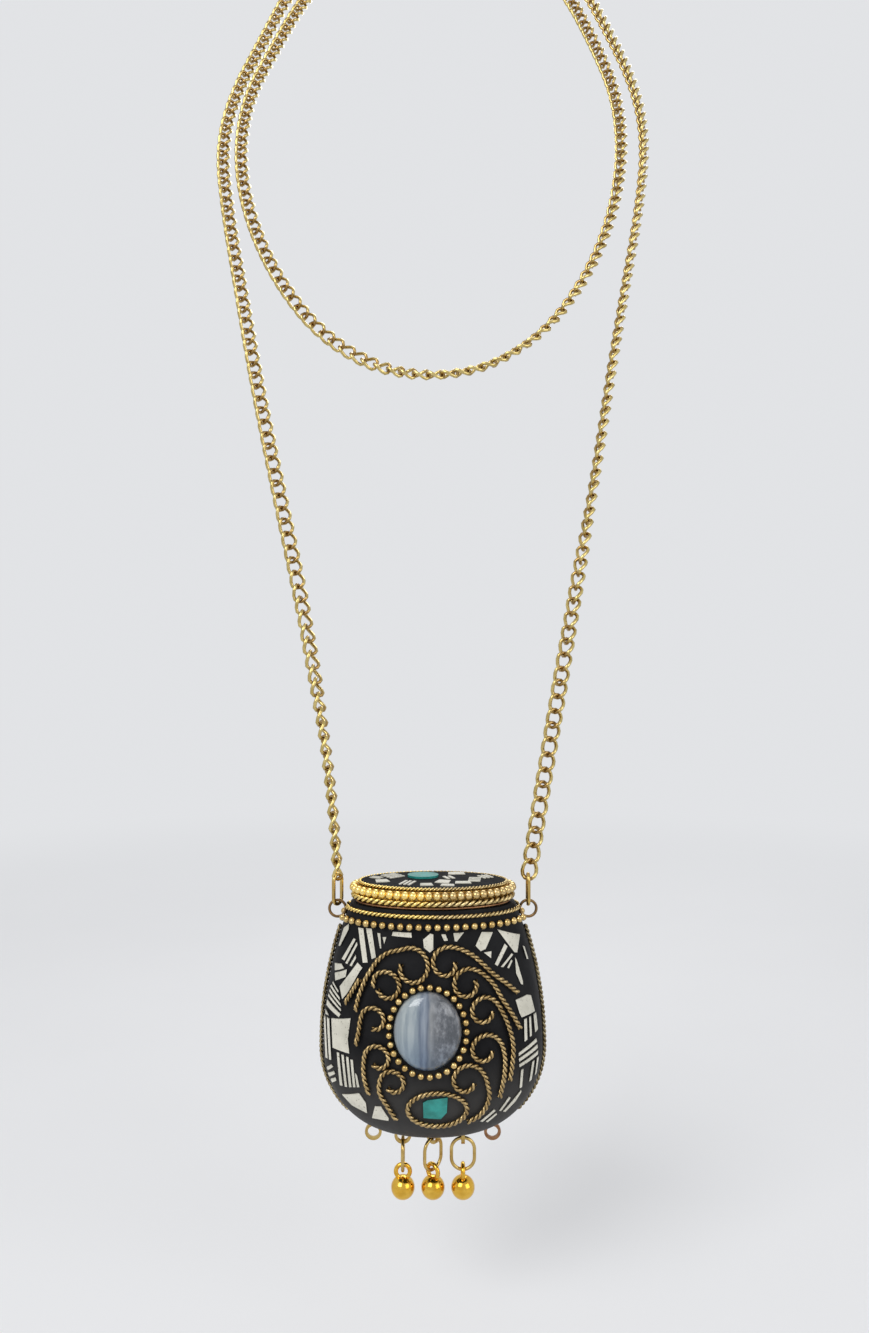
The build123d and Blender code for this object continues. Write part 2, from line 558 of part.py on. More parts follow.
# Resin on the lid, its mosaic, turquoise and frame wires
lid_bed = LID_HEIGHT + GLUE
lid_face = lid_bed + LID_RESIN
frame_a, frame_b = LID_A - FRAME_D / 2, LID_B - FRAME_D / 2
with BuildPart() as lid_resin:
    with BuildSketch(Plane.XY.offset(lid_bed)):
        Ellipse(LID_A - FRAME_D - SOLDER, LID_B - FRAME_D - SOLDER)
    extrude(amount=LID_RESIN)
    with BuildSketch(Plane.XY.offset(lid_face)):
        with Locations((LID_TURQUOISE_X, LID_TURQUOISE_Y)):
            Ellipse(LID_TURQUOISE_A + SOLDER, LID_TURQUOISE_B + SOLDER)
    extrude(amount=-LID_RESIN, mode=Mode.SUBTRACT)
save(lid_resin.part, "lid_resin")
lid_chip_plane = Plane.XY.offset(lid_face + GLUE)
lid_chip = CHIP * DEPTH_RATIO
white_prisms = chip_prisms(LID_WHITE_CHIPS, lid_chip_plane, lid_chip, CHIP_TAPER)
save(Compound(white_prisms.solids()), "lid_white_chips")
lid_bars = [bar for row in LID_STRIPED_CHIPS for bar in bars(row)]
bar_prisms = chip_prisms(lid_bars, lid_chip_plane, lid_chip, 90)
save(Compound(bar_prisms.solids()), "lid_striped_chips")
with BuildPart() as lid_turquoise:
    with BuildSketch(Plane.XY.offset(lid_bed + GLUE)):
        with Locations((LID_TURQUOISE_X, LID_TURQUOISE_Y)):
            Ellipse(LID_TURQUOISE_A, LID_TURQUOISE_B)
    extrude(amount=LID_RESIN + TURQUOISE_RISE)
save(lid_turquoise.part, "lid_turquoise")
frame_z = LID_HEIGHT + SOLDER + FRAME_D / 2
frame_span = [(90 + WIRE_JOINT / 2, 450 - WIRE_JOINT / 2)]
save(oval_wire(frame_a, frame_b, frame_z, FRAME_D, frame_span), "lid_frame_wire")

# Lip wire, rope and grains round the lid's rim, open at the hinge
rim_span = [(90 + HINGE_GAP, 450 - HINGE_GAP)]
lip_reach = LIP_D / 2 + SOLDER
lip_z = LID_SEAT + lip_reach
save(oval_wire(LID_A + lip_reach, LID_B + lip_reach, lip_z, LIP_D, rim_span), "lid_lip_wire")
rope_reach = ROPE_D / 2 + SOLDER
rope_z = lip_z + LIP_D / 2 + rope_reach
save(oval_wire(LID_A + rope_reach, LID_B + rope_reach, rope_z, ROPE_D, rim_span), "lid_rope")
with BuildPart() as lid_grain:
    Sphere(LID_GRAIN_D / 2)
lid_grain_reach = LID_GRAIN_D / 2 + SOLDER
lid_grain_z = rope_z + ROPE_D / 2 + lid_grain_reach
lid_places = oval_places(
    LID_A + lid_grain_reach, LID_B + lid_grain_reach, lid_grain_z, LID_GRAINS, HINGE_GAP
)
save(copies(lid_grain.part, lid_places), "lid_grains")

# Hinge: two knuckles on the case, one on the lid, and the pin
case_knuckle = (HINGE_WIDTH - LID_KNUCKLE) / 2 - KNUCKLE_GAP
leaf_y = HINGE_Y - LEAF_BACK - LEAF
leaf_height = LEAF_DROP - KNUCKLE_R - 2 * KNUCKLE_GAP
with BuildPart() as case_hinge:
    for side in (-1, 1):
        middle = side * (HINGE_WIDTH - case_knuckle) / 2
        with Locations((middle, HINGE_Y, HINGE_Z)):
            Cylinder(KNUCKLE_R, case_knuckle, rotation=(0, 90, 0))
        with Locations((middle, leaf_y + LEAF / 2, HINGE_Z - LEAF_DROP / 2)):
            Box(case_knuckle, LEAF, LEAF_DROP)
    with Locations((0, leaf_y + LEAF / 2, HINGE_Z - LEAF_DROP)):
        Box(HINGE_WIDTH, LEAF, leaf_height, align=(Align.CENTER, Align.CENTER, Align.MIN))
    with Locations((0, HINGE_Y, HINGE_Z)):
        Cylinder(PIN_R + PIN_PLAY, HINGE_WIDTH, rotation=(0, 90, 0), mode=Mode.SUBTRACT)
save(case_hinge.part, "case_hinge_leaf")
with BuildPart() as lid_hinge:
    with Locations((0, HINGE_Y, HINGE_Z)):
        Cylinder(KNUCKLE_R, LID_KNUCKLE, rotation=(0, 90, 0))
    with BuildSketch(Plane.XY.offset(HINGE_Z + SOLDER + LID_SEAT)):
        with Locations((0, (LID_B + SOLDER + HINGE_Y) / 2)):
            Rectangle(LID_KNUCKLE, HINGE_Y - LID_B - SOLDER)
    extrude(amount=LEAF)
    with BuildSketch(Plane.XY.offset(HINGE_Z + SOLDER + LID_SEAT)):
        with Locations((0, LID_B + SOLDER + LEAF / 2)):
            Rectangle(LID_KNUCKLE, LEAF)
    extrude(amount=LEAF_RISE)
    with Locations((0, HINGE_Y, HINGE_Z)):
        Cylinder(PIN_R + PIN_PLAY, LID_KNUCKLE, rotation=(0, 90, 0), mode=Mode.SUBTRACT)
save(lid_hinge.part, "lid_hinge_leaf")
with BuildPart() as hinge_pin:
    with Locations((0, HINGE_Y, HINGE_Z)):
        Cylinder(PIN_R, HINGE_WIDTH, rotation=(0, 90, 0))
save(hinge_pin.part, "hinge_pin")

# Rings at the sides of the neck, and the oval links that hang in them
eye_x = case_radius(-EYE_DROP) + (SOLDER + EYE_D / 2 + EYE_R) * steepness(-EYE_DROP, 1)
eye_top = -EYE_DROP + EYE_R
oval_foot = eye_top - EYE_D / 2 - OVAL_D / 2 - LINK_PLAY
with BuildPart() as eye_ring:
    Torus(EYE_R, EYE_D / 2, rotation=(90, 0, 0))
oval_link = stadium_link(OVAL_LENGTH, OVAL_WIDTH, OVAL_D)
for side, sign in (("left", -1), ("right", 1)):
    save(eye_ring.part, f"{side}_side_ring", BOX * Pos(sign * eye_x, 0, -EYE_DROP))
    save(oval_link, f"{side}_oval_link", BOX * Pos(sign * eye_x, 0, oval_foot) * Rot(Z=OVAL_TURNS[side]))

# Short rings of tube under the foot: three carry charms and two are spare
loop_z = -CASE_HEIGHT - SOLDER - LOOP_R
with BuildPart() as foot_loop:
    with BuildSketch(Plane.XZ.offset(-LOOP_BAND / 2)):
        Circle(LOOP_R)
        Circle(LOOP_BORE_R, mode=Mode.SUBTRACT)
    extrude(amount=LOOP_BAND)
loop_xs = {"left": -LOOP_PITCH, "middle": 0.0, "right": LOOP_PITCH}
foot_rings = [
    Pos(x, 0, loop_z) * Rot(Z=CHARM_TURNS[side] + 90) * foot_loop.part for side, x in loop_xs.items()
]
save(Compound(foot_rings), "charm_loops")
foot_a, foot_b = CASE_BELLY_R - CASE_FOOT_R, CASE_HEIGHT - BELLY_DROP
spare_share = (SPARE_X - CASE_FOOT_R) / foot_a
seat_drop = foot_b * sqrt(1 - spare_share**2)
away = Vector(spare_share / foot_a, 0, -seat_drop / foot_b**2).normalized()
spare_centre = Vector(SPARE_X, 0, -BELLY_DROP - seat_drop) + away * (LOOP_R + SOLDER)
for side, sign in (("left", -1), ("right", 1)):
    save(foot_loop.part, f"{side}_spare_loop", BOX * Pos(sign * spare_centre.X, 0, spare_centre.Z))

# Charms: an oval ring in each loop, and a ball on its own eye
ring_top = loop_z - LOOP_BORE_R + CHARM_RING_D / 2 + CHARM_PLAY
ring_foot = ring_top - CHARM_RING_LENGTH
ball_eye_top = ring_foot + CHARM_RING_D / 2 + BALL_EYE_D / 2 + CHARM_PLAY
charm_ring = stadium_link(CHARM_RING_LENGTH, CHARM_RING_WIDTH, CHARM_RING_D)
with BuildPart() as charm_ball:
    with Locations((0, 0, -BALL_EYE_R)):
        Torus(BALL_EYE_R, BALL_EYE_D / 2, rotation=(90, 0, 0))
    with Locations((0, 0, -BALL_EYE_R - BALL_DROP)):
        Sphere(BALL_R)
for side, x in loop_xs.items():
    turn = Rot(Z=CHARM_TURNS[side])
    save(charm_ring, f"{side}_charm_ring", BOX * Pos(x, 0, ring_foot) * turn)
    save(charm_ball.part, f"{side}_charm_ball", BOX * Pos(x, 0, ball_eye_top) * turn * Rot(Z=90))


def meeting_point(p, t, q, u):
    """Where two arcs meet that leave p along t and reach q along u."""
    span = q - p
    a = 2 * (t.dot(u) - 1)
    b = -2 * span.dot(t + u)
    reach = (-b - sqrt(b * b - 4 * a * span.dot(span))) / (2 * a)
    return (p + t * reach + q - u * reach) * 0.5


# Curb link along X: its two bows are twisted opposite ways, so that neighbours cross at right angles
twist = radians(CHAIN_TWIST)
lean = atan2(CHAIN_WIDTH * twist, CHAIN_LENGTH)
bows = [
    (Vector(CHAIN_LENGTH / 2, 0, 0), Vector(0, cos(twist), sin(twist))),
    (Vector(0, CHAIN_WIDTH / 2, 0), Vector(-cos(lean), 0, -sin(lean))),
    (Vector(-CHAIN_LENGTH / 2, 0, 0), Vector(0, -cos(twist), sin(twist))),
]
with BuildPart() as half_link:
    with BuildLine() as half_path:
        for (p, t), (q, u) in zip(bows, bows[1:]):
            middle = meeting_point(p, t, q, u)
            first = TangentArc(p, middle, tangent=t)
            TangentArc(middle, q, tangent=first % 1)
    with BuildSketch(Plane(origin=bows[0][0], z_dir=bows[0][1])):
        Circle(CHAIN_D / 2)
    sweep()
with BuildPart() as curb_link:
    add(half_link.part)
    add(half_link.part, rotation=(180, 0, 0))

# The chain's line: a smooth curve that each point of the route draws towards itself
chain_start = Vector(-eye_x, 0, oval_foot + OVAL_LENGTH - OVAL_D / 2 - CHAIN_D / 2 - LINK_PLAY)
chain_end = Vector(eye_x, chain_start.Y, chain_start.Z)
route = [chain_start] + [Vector(*p) for p in LEFT_STRAND + NECK_LOOP + RIGHT_STRAND] + [chain_end]
spans = []
with BuildLine():
    last = route[0]
    for k in range(1, len(route) - 1):
        corner = route[k]
        ahead = route[k + 1] if k == len(route) - 2 else (corner + route[k + 1]) * 0.5
        spans.append(Bezier(last, corner, ahead))
        last = ahead
chain_length = sum(span.length for span in spans)


def along_chain(distance):
    """The place and the direction at a distance along the chain."""
    for span in spans:
        if distance < span.length:
            break
        distance -= span.length
    share = min(distance / span.length, 1)
    return span @ share, span % share


link_count = round((chain_length - CHAIN_LENGTH) / CHAIN_PITCH) + 1
link_step = (chain_length - CHAIN_LENGTH) / (link_count - 1)
links = []
for k in range(link_count):
    centre, along = along_chain(CHAIN_LENGTH / 2 + k * link_step)
    outward = Vector(centre.X, centre.Y - BOX_FORWARD - NECK_AXIS_Y, 0)
    link_plane = Plane(centre, x_dir=along, z_dir=along.cross(outward).cross(along))
    links.append(link_plane.location * curb_link.part)

# The stretches of the chain: up the left side, round the throat, and down the right side
left_length = sum(span.length for span in spans[: len(LEFT_STRAND)])
loop_length = sum(span.length for span in spans[len(LEFT_STRAND) : len(LEFT_STRAND + NECK_LOOP)])
left_links = round(left_length / link_step)
loop_links = left_links + round(loop_length / link_step)
save(Compound(links[:left_links]), "chain_left_strand")
save(Compound(links[left_links:loop_links]), "chain_neck_loop")
save(Compound(links[loop_links:]), "chain_right_strand")
least_space = min(a.distance_to(b) for a, b in zip(links, links[1:]))
print("chain length", round(chain_length, 1), "links", link_count, "least space", round(least_space, 3))
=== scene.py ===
import math

import bmesh
import bpy
from mathutils import Matrix, Vector
from mathutils.kdtree import KDTree


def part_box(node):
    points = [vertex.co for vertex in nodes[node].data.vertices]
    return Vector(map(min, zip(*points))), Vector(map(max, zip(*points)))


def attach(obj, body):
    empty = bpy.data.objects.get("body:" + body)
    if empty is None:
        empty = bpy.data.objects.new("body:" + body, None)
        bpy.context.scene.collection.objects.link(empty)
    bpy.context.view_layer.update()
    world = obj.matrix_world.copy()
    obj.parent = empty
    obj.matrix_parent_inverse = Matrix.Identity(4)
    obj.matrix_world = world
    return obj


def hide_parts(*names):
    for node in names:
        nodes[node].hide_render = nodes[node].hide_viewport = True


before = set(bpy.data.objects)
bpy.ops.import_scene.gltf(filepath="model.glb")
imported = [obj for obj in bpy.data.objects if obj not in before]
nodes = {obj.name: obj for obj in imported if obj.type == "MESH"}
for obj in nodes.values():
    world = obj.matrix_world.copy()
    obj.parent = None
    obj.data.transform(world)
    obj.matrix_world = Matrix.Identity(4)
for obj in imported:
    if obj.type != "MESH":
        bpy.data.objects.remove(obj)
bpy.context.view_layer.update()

MM = 0.001
MOUTH = Vector((0, -0.135, -0.342))  # centre of the case's mouth

# The case's form, as its outline is drawn
NECK_R = 20.4 * MM
BELLY_R = 27.4 * MM
FOOT_R = 9.0 * MM
HEIGHT = 56.5 * MM
BELLY_DROP = 36.0 * MM
DEPTH_RATIO = 0.56
CHIP_LIFT = 0.25 * MM

# Twisted wire
SCROLL_D = 1.1 * MM
SCROLL_ROPE_D = 1.35 * MM  # over the strands, whose mean width is then the plain wire's
ROPE_D = 1.7 * MM
FRAME_D = 0.9 * MM
NECK_ROPE_D = 1.2 * MM
EDGE_D = 1.2 * MM
EDGE_LIFT = EDGE_D / 2 - 0.15 * MM  # the side wires are sunk a little in the resin
EDGE_TOP = 6.0 * MM
EDGE_END = 50.0  # degrees round the foot
EDGE_STEPS = 40
OVAL_STEPS = 120
HINGE_GAP = 18.0  # degrees left open on each side of the hinge
FRAME_GAP = 1.0
SIDE_GAP = 6.0  # degrees left open at the side rings
PITCH = 2.0  # one turn of the strands, in wire diameters
STEPS_PER_TURN = 8
STRAND_SHARE = 0.27  # strand radius over the wire's diameter
STRAND_REACH = 0.23  # strand's place off the wire's line, over the diameter
STRAND_SIDES = 6
CURL_STEP = 40.0  # degrees between a spiral's points
LINE_SMOOTHNESS = 10

# Resin: painted sheen, a lighter grey laid from the first depth below the mouth to the second, standing for
# light reflected on the lower belly
PAINTED_SHEEN_START = 31.0 * MM
PAINTED_SHEEN_FULL = 47.0 * MM
PAINTED_SHEEN_GREY = (0.052, 0.05, 0.048, 1)
CASE_GLOSS = 0.12
LID_GLOSS = 0.02  # the lid's top is rubbed dull

# Gilding
FRESH_GOLD = (0.95, 0.71, 0.24)

# Chain
CHAIN_PITCH = 3.9 * MM
CHAIN_D = 0.9 * MM
CHAIN_WIDTH = 3.5 * MM
CHAIN_LINK = CHAIN_PITCH + CHAIN_D + 0.1 * MM
LINK_STEPS = 14
LINK_SIDES = 6
HEX_SHARE = 1.1  # a six-sided tube this much wider is as thick as round wire
CHAIN_SMOOTHNESS = 14
LINK_PLAY = 0.15 * MM
FRONT = Vector((0, -1, 0))

# Left oval link, turned so that the side ring has room to swing in it
OVAL_D = 0.95 * MM
OVAL_LENGTH = 7.45 * MM
OVAL_WIDTH = 3.05 * MM
OVAL_TURN = math.radians(55)
OVAL_SIDES = 12
BOW_STEPS = 12

# The chain's route from the left oval link to the right one, from the mouth of the case
LEFT_STRAND = [
    (-0.0252, 0.003, 0.024), (-0.0298, 0.011, 0.05), (-0.0358, 0.02, 0.078), (-0.0433, 0.028, 0.109),
    (-0.0508, 0.037, 0.141), (-0.0573, 0.048, 0.171), (-0.0632, 0.058, 0.198), (-0.0674, 0.068, 0.223),
    (-0.0654, 0.079, 0.246), (-0.0586, 0.091, 0.27), (-0.0504, 0.103, 0.297), (-0.0394, 0.117, 0.322),
    (-0.022, 0.129, 0.338),
]
NECK_LOOP = [
    (0, 0.135, 0.344), (0.02, 0.126, 0.334), (0.0366, 0.114, 0.317), (0.0475, 0.102, 0.295),
    (0.055, 0.09, 0.27), (0.0602, 0.078, 0.246), (0.0602, 0.067, 0.221), (0.055, 0.057, 0.196),
    (0.0452, 0.048, 0.173), (0.031, 0.042, 0.154), (0.0115, 0.04, 0.143), (-0.012, 0.04, 0.143),
    (-0.0314, 0.043, 0.154), (-0.046, 0.049, 0.173), (-0.0564, 0.057, 0.196), (-0.0614, 0.066, 0.22),
    (-0.0606, 0.078, 0.245), (-0.054, 0.089, 0.267), (-0.0464, 0.101, 0.291), (-0.0356, 0.114, 0.314),
    (-0.02, 0.126, 0.33),
]
RIGHT_STRAND = [
    (0, 0.139, 0.337), (0.022, 0.134, 0.341), (0.0394, 0.12, 0.328), (0.0515, 0.105, 0.303),
    (0.0605, 0.0915, 0.274), (0.0664, 0.078, 0.248), (0.0676, 0.068, 0.225), (0.0634, 0.058, 0.199),
    (0.0574, 0.048, 0.172), (0.0514, 0.038, 0.144), (0.0454, 0.029, 0.112), (0.039, 0.021, 0.081),
    (0.033, 0.012, 0.052), (0.0274, 0.004, 0.025),
]
# The chain's turning: share of its length, and degrees from flat to the front
CHAIN_TURNS = [
    (0.0, 90), (0.025, 85), (0.045, 50), (0.065, 15), (0.09, 0), (0.33, 0), (0.4, 45), (0.45, 65),
    (0.49, 80), (0.505, 55), (0.515, 25), (0.53, 0), (0.68, 0), (0.75, 75), (0.8, 85), (0.92, 85),
    (0.945, 45), (0.965, 10), (1.0, 0),
]

# Scrolls: tail points, then centre, radii, first angle and sweep of the spiral, in millimetres
LEFT_SCROLLS = [
    ([(-18.4, -23.6), (-17.9, -21.2), (-16.9, -18.2), (-15.2, -14.6), (-11.4, -10.0)],
     (-5.1, -12.7), 4.8, 2.5, 124, -320),
    ([(-14.2, -17.6)], (-10.9, -17.2), 3.5, 2.4, 143, -300),
    ([(-18.3, -31.5), (-17.6, -28.5)], (-14.0, -25.2), 3.1, 2.1, 180, -280),
    ([(-15.2, -43.0), (-16.3, -38.5)], (-12.9, -34.1), 3.4, 1.9, 190, -320),
    ([(-8.7, -49.0), (-10.4, -46.0), (-12.6, -42.0)], (-9.3, -39.6), 3.3, 1.9, 185, -320),
]
RIGHT_SCROLLS = [
    ([(20.4, -19.8), (17.6, -17.2), (14.6, -14.8), (11.7, -12.0), (8.8, -9.6)],
     (3.3, -11.7), 3.9, 2.0, 75, 290),
    ([(20.9, -28.2), (19.3, -25.1), (16.7, -20.9), (13.4, -15.8)], (8.2, -16.6), 3.7, 2.0, 75, 310),
    ([(18.3, -40.0), (18.9, -36.0), (19.1, -31.7), (17.8, -26.5), (16.4, -23.4)],
     (12.1, -22.9), 3.4, 2.2, 32, 318),
    ([(15.9, -43.9), (17.0, -38.0), (16.9, -33.0)], (12.3, -32.0), 4.0, 1.9, 25, 320),
    ([(8.2, -49.6), (11.2, -47.9), (13.3, -43.8), (13.0, -40.4)], (8.0, -38.9), 4.2, 2.0, 25, 310),
]
LEFT_BORDER = [(-17.5, -16.3), (-19.2, -19.2), (-21.0, -22.3)]
TURQUOISE = (1.1, -46.0)
TURQUOISE_RING = (7.0, 4.4)
RING_STEPS = 16

# Floor, light and camera
FLOOR_Z = -0.45
FLOOR_REACH = 6.0
FADE_START, FADE_END = 0.1, 0.8  # distance from the middle of the floor
BACKGROUND = (0.76, 0.77, 0.79, 1)
FILL_COLOUR = (0.9, 0.92, 0.95, 1)
FILL_STRENGTH = 0.42
LAMPS = [  # name, place, size and power
    ("key", (-0.45, -0.75, 0.25), 0.5, 4.2),
    ("fill", (0.6, -0.6, -0.05), 0.5, 1.6),
    ("rim", (0.1, 0.5, 0.35), 0.5, 2.6),
]
LAMP_TARGET = Vector((0, -0.1, -0.3))
FRAME_HEIGHT = 1333.0  # the photograph's, in pixels
FOCAL = 1000.0  # its camera's focal length, in pixels
SENSOR_HEIGHT = 24.0
CAMERA_PLACE = MOUTH + Vector((0.0004, -0.25, 0.0584))


# Places on the case


def case_radius(z):
    """Half width of the case at height z from the mouth."""
    below = -BELLY_DROP - z
    if below > 0:
        share = min(below / (HEIGHT - BELLY_DROP), 1)
        return FOOT_R + (BELLY_R - FOOT_R) * math.sqrt(1 - share**2)
    swell = BELLY_R - NECK_R
    bend = (BELLY_DROP**2 + swell**2) / (2 * swell)
    return BELLY_R - bend + math.sqrt(bend**2 - below**2)


def on_front(x, z, lift):
    """The point of the case's front at x and z from the mouth, raised by lift."""
    slope = (case_radius(z + MM) - case_radius(z - MM)) / (2 * MM)
    reach = case_radius(z) + lift * math.sqrt(1 + (DEPTH_RATIO * slope) ** 2) / DEPTH_RATIO
    return MOUTH + Vector((x, -DEPTH_RATIO * math.sqrt(reach**2 - x**2), z))


def from_axis(point):
    """Direction from the upright middle of the case to a point."""
    out = point - MOUTH
    return Vector((out.x, out.y / DEPTH_RATIO**2, 0)).normalized()


def scroll_points(tail, centre, first_r, last_r, start, turn):
    """The points of a tail and its spiral, in the plane of the front, in metres."""
    steps = round(abs(turn) / CURL_STEP)
    points = [Vector(p) for p in tail]
    for k in range(steps + 1):
        angle = math.radians(start + turn * k / steps)
        radius = first_r + (last_r - first_r) * k / steps
        points.append(Vector(centre) + radius * Vector((math.cos(angle), math.sin(angle))))
    return [p * MM for p in points]


# Lines and tubes


def curve_points(curve):
    """The points of a curve with no bevel, in order."""
    carrier = bpy.data.objects.new("line", curve)
    mesh = bpy.data.meshes.new_from_object(carrier)
    points = [v.co.copy() for v in mesh.vertices]
    bpy.data.objects.remove(carrier)
    bpy.data.meshes.remove(mesh)
    bpy.data.curves.remove(curve)
    return points


def smooth_line(knots):
    """Points along a smooth line through the knots."""
    curve = bpy.data.curves.new("line", "CURVE")
    curve.dimensions = "3D"
    curve.resolution_u = LINE_SMOOTHNESS
    spline = curve.splines.new("BEZIER")
    spline.bezier_points.add(len(knots) - 1)
    for knot, place in zip(spline.bezier_points, knots):
        knot.co = place
        knot.handle_left_type = "AUTO"
        knot.handle_right_type = "AUTO"
    return curve_points(curve)


def even_points(points, step):
    """Points an even step apart along a line, and the step that fits its length."""
    lengths = [0.0]
    for a, b in zip(points, points[1:]):
        lengths.append(lengths[-1] + (b - a).length)
    count = max(round(lengths[-1] / step), 2)
    out = []
    span = 0
    for k in range(count + 1):
        at = lengths[-1] * k / count
        while span < len(points) - 2 and lengths[span + 1] < at:
            span += 1
        share = (at - lengths[span]) / max(lengths[span + 1] - lengths[span], 1e-9)
        out.append(points[span].lerp(points[span + 1], min(share, 1)))
    return out, lengths[-1] / count


def directions(points, closed=False):
    """The direction of a line at each of its points."""
    count = len(points)
    out = []
    for k in range(count):
        before = points[k - 1] if k or closed else points[k]
        after = points[(k + 1) % count] if k < count - 1 or closed else points[k]
        out.append((after - before).normalized())
    return out


def tubes(lines, radius, sides, closed=False):
    """A mesh of round tubes along lines of points."""
    curve = bpy.data.curves.new("tube", "CURVE")
    curve.dimensions = "3D"
    curve.bevel_depth = radius
    curve.bevel_resolution = sides // 2 - 2
    curve.use_fill_caps = not closed
    for line in lines:
        spline = curve.splines.new("POLY")
        spline.points.add(len(line) - 1)
        for knot, place in zip(spline.points, line):
            knot.co = (*place, 1)
        spline.use_cyclic_u = closed
    carrier = bpy.data.objects.new("tube", curve)
    mesh = bpy.data.meshes.new_from_object(carrier)
    bpy.data.objects.remove(carrier)
    bpy.data.curves.remove(curve)
    return mesh


def add_piece(name, mesh, material, body, replaced=()):
    """A finished piece that rides on a body and stands for CAD nodes."""
    mesh.name = name
    mesh.materials.clear()
    mesh.materials.append(material)
    mesh.polygons.foreach_set("use_smooth", [True] * len(mesh.polygons))
    piece = bpy.data.objects.new(name, mesh)
    bpy.context.scene.collection.objects.link(piece)
    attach(piece, body)
    if replaced:
        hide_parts(*replaced)
    return piece


def twisted_wires(name, lines, diameter, material, body, node):
    """Two strands twisted round each line, with the depth of each point kept for the painted shade in the
    grooves between the strands.
    """
    strands = []
    middle = []
    for line in lines:
        points = even_points(line, PITCH * diameter / STEPS_PER_TURN)[0]
        turns = max(round(len(points) / STEPS_PER_TURN), 1)
        for phase in (0, math.pi):
            strand = []
            for k, (point, along) in enumerate(zip(points, directions(points))):
                side = along.cross(from_axis(point)).normalized()
                up = side.cross(along)
                angle = phase + 2 * math.pi * turns * k / (len(points) - 1)
                offset = side * math.cos(angle) + up * math.sin(angle)
                strand.append(point + offset * diameter * STRAND_REACH)
            strands.append(strand)
        middle += points
    mesh = tubes(strands, diameter * STRAND_SHARE, STRAND_SIDES)
    tree = KDTree(len(middle))
    for k, point in enumerate(middle):
        tree.insert(point, k)
    tree.balance()
    # Depth from the wire's middle line: low values darken the grooves as painted shade
    height = mesh.attributes.new("height", "FLOAT", "POINT")
    for vertex in mesh.vertices:
        height.data[vertex.index].value = tree.find(vertex.co)[2] / (diameter / 2)
    return add_piece(name, mesh, material, body, [node])


# Materials


def blank(name, metallic, roughness):
    """A material, its shader, and two functions that add nodes to it and link them."""
    material = bpy.data.materials.new(name)
    material.use_nodes = True
    tree = material.node_tree
    shader = tree.nodes["Principled BSDF"]
    shader.inputs["Metallic"].default_value = metallic
    shader.inputs["Roughness"].default_value = roughness

    def add(kind, inputs=(), **settings):
        node = tree.nodes.new(kind)
        for key, value in settings.items():
            setattr(node, key, value)
        for socket, value in dict(inputs).items():
            if isinstance(value, bpy.types.NodeSocket):
                tree.links.new(value, node.inputs[socket])
            else:
                node.inputs[socket].default_value = value
        return node

    return material, shader, add, tree.links.new


def fade(add, source, stops):
    """A colour ramp over a value: stops are places and linear colours."""
    ramp = add("ShaderNodeValToRGB", {"Fac": source})
    marks = ramp.color_ramp.elements
    while len(marks) < len(stops):
        marks.new(1.0)
    for mark, (place, colour) in zip(marks, stops):
        mark.position = place
        mark.color = (*colour, 1)
    return ramp.outputs["Color"]


def span(add, source, low, high):
    """A value brought from 0..1 to low..high."""
    inputs = {"Value": source, "To Min": low, "To Max": high}
    return add("ShaderNodeMapRange", inputs).outputs["Result"]


def grain_of(add, scale, detail=4.0, rough=0.55, stretch=(1, 1, 1)):
    """Noise on Object coordinates, its grain drawn out by stretch."""
    coords = add("ShaderNodeTexCoord").outputs["Object"]
    mapped = add("ShaderNodeMapping", {"Vector": coords, "Scale": stretch}).outputs["Vector"]
    inputs = {"Vector": mapped, "Scale": scale, "Detail": detail, "Roughness": rough}
    return add("ShaderNodeTexNoise", inputs).outputs["Fac"]


def blend(add, factor, low, high, kind="MIX"):
    """Two colours put together by a factor."""
    inputs = {0: factor, 6: low, 7: high}
    return add("ShaderNodeMix", inputs, data_type="RGBA", blend_type=kind).outputs[2]


def roughen(add, link, shader, scale, depth, strength):
    """Fine unevenness of a surface."""
    inputs = {"Strength": strength, "Distance": depth, "Height": grain_of(add, scale)}
    bump = add("ShaderNodeBump", inputs)
    link(bump.outputs["Normal"], shader.inputs["Normal"])


def left_share(add):
    """1 on the left of the lid and 0 on its right, with a ragged edge between them."""
    coords = add("ShaderNodeTexCoord").outputs["Object"]
    across = add("ShaderNodeSeparateXYZ", {"Vector": coords}).outputs["X"]
    ragged = span(add, grain_of(add, 300.0), -4 * MM, 4 * MM)
    edge = add("ShaderNodeMath", {0: across, 1: ragged}, operation="ADD").outputs[0]
    inputs = {"Value": edge, "From Min": 2 * MM, "From Max": -3 * MM}
    return add("ShaderNodeMapRange", inputs).outputs["Result"]


def gilt(name, bright, dull, roughness, hollow_shade=None, fresh=None):
    """Gold-coloured metal, cloudy and scratched: with painted shade in its hollows, or freshly gilt on its
    left.
    """
    material, shader, add, link = blank(name, 1.0, roughness)
    colour = fade(add, grain_of(add, 420.0), [(0.35, dull), (0.65, bright)])
    if fresh:
        colour = blend(add, left_share(add), colour, (*fresh, 1))
    if hollow_shade:
        # Painted shade: where the height attribute is low, in the hollows, the gold is darkened towards the
        # given dark colour, in uneven spots
        height = add("ShaderNodeAttribute", attribute_name="height").outputs["Fac"]
        painted_light_mask = add("ShaderNodeMapRange", {"Value": height, "From Min": 0.42, "From Max": 0.9})
        spots = span(add, grain_of(add, 900.0), 0.55, 1.25)
        inputs = {0: painted_light_mask.outputs["Result"], 1: spots}
        unshaded_share = add("ShaderNodeMath", inputs, operation="MULTIPLY", use_clamp=True).outputs[0]
        colour = blend(add, unshaded_share, (*hollow_shade, 1), colour)
    link(colour, shader.inputs["Base Color"])
    link(span(add, grain_of(add, 1500.0), roughness * 0.7, roughness * 1.4), shader.inputs["Roughness"])
    roughen(add, link, shader, 2600.0, 0.1 * MM, 0.12)
    return material


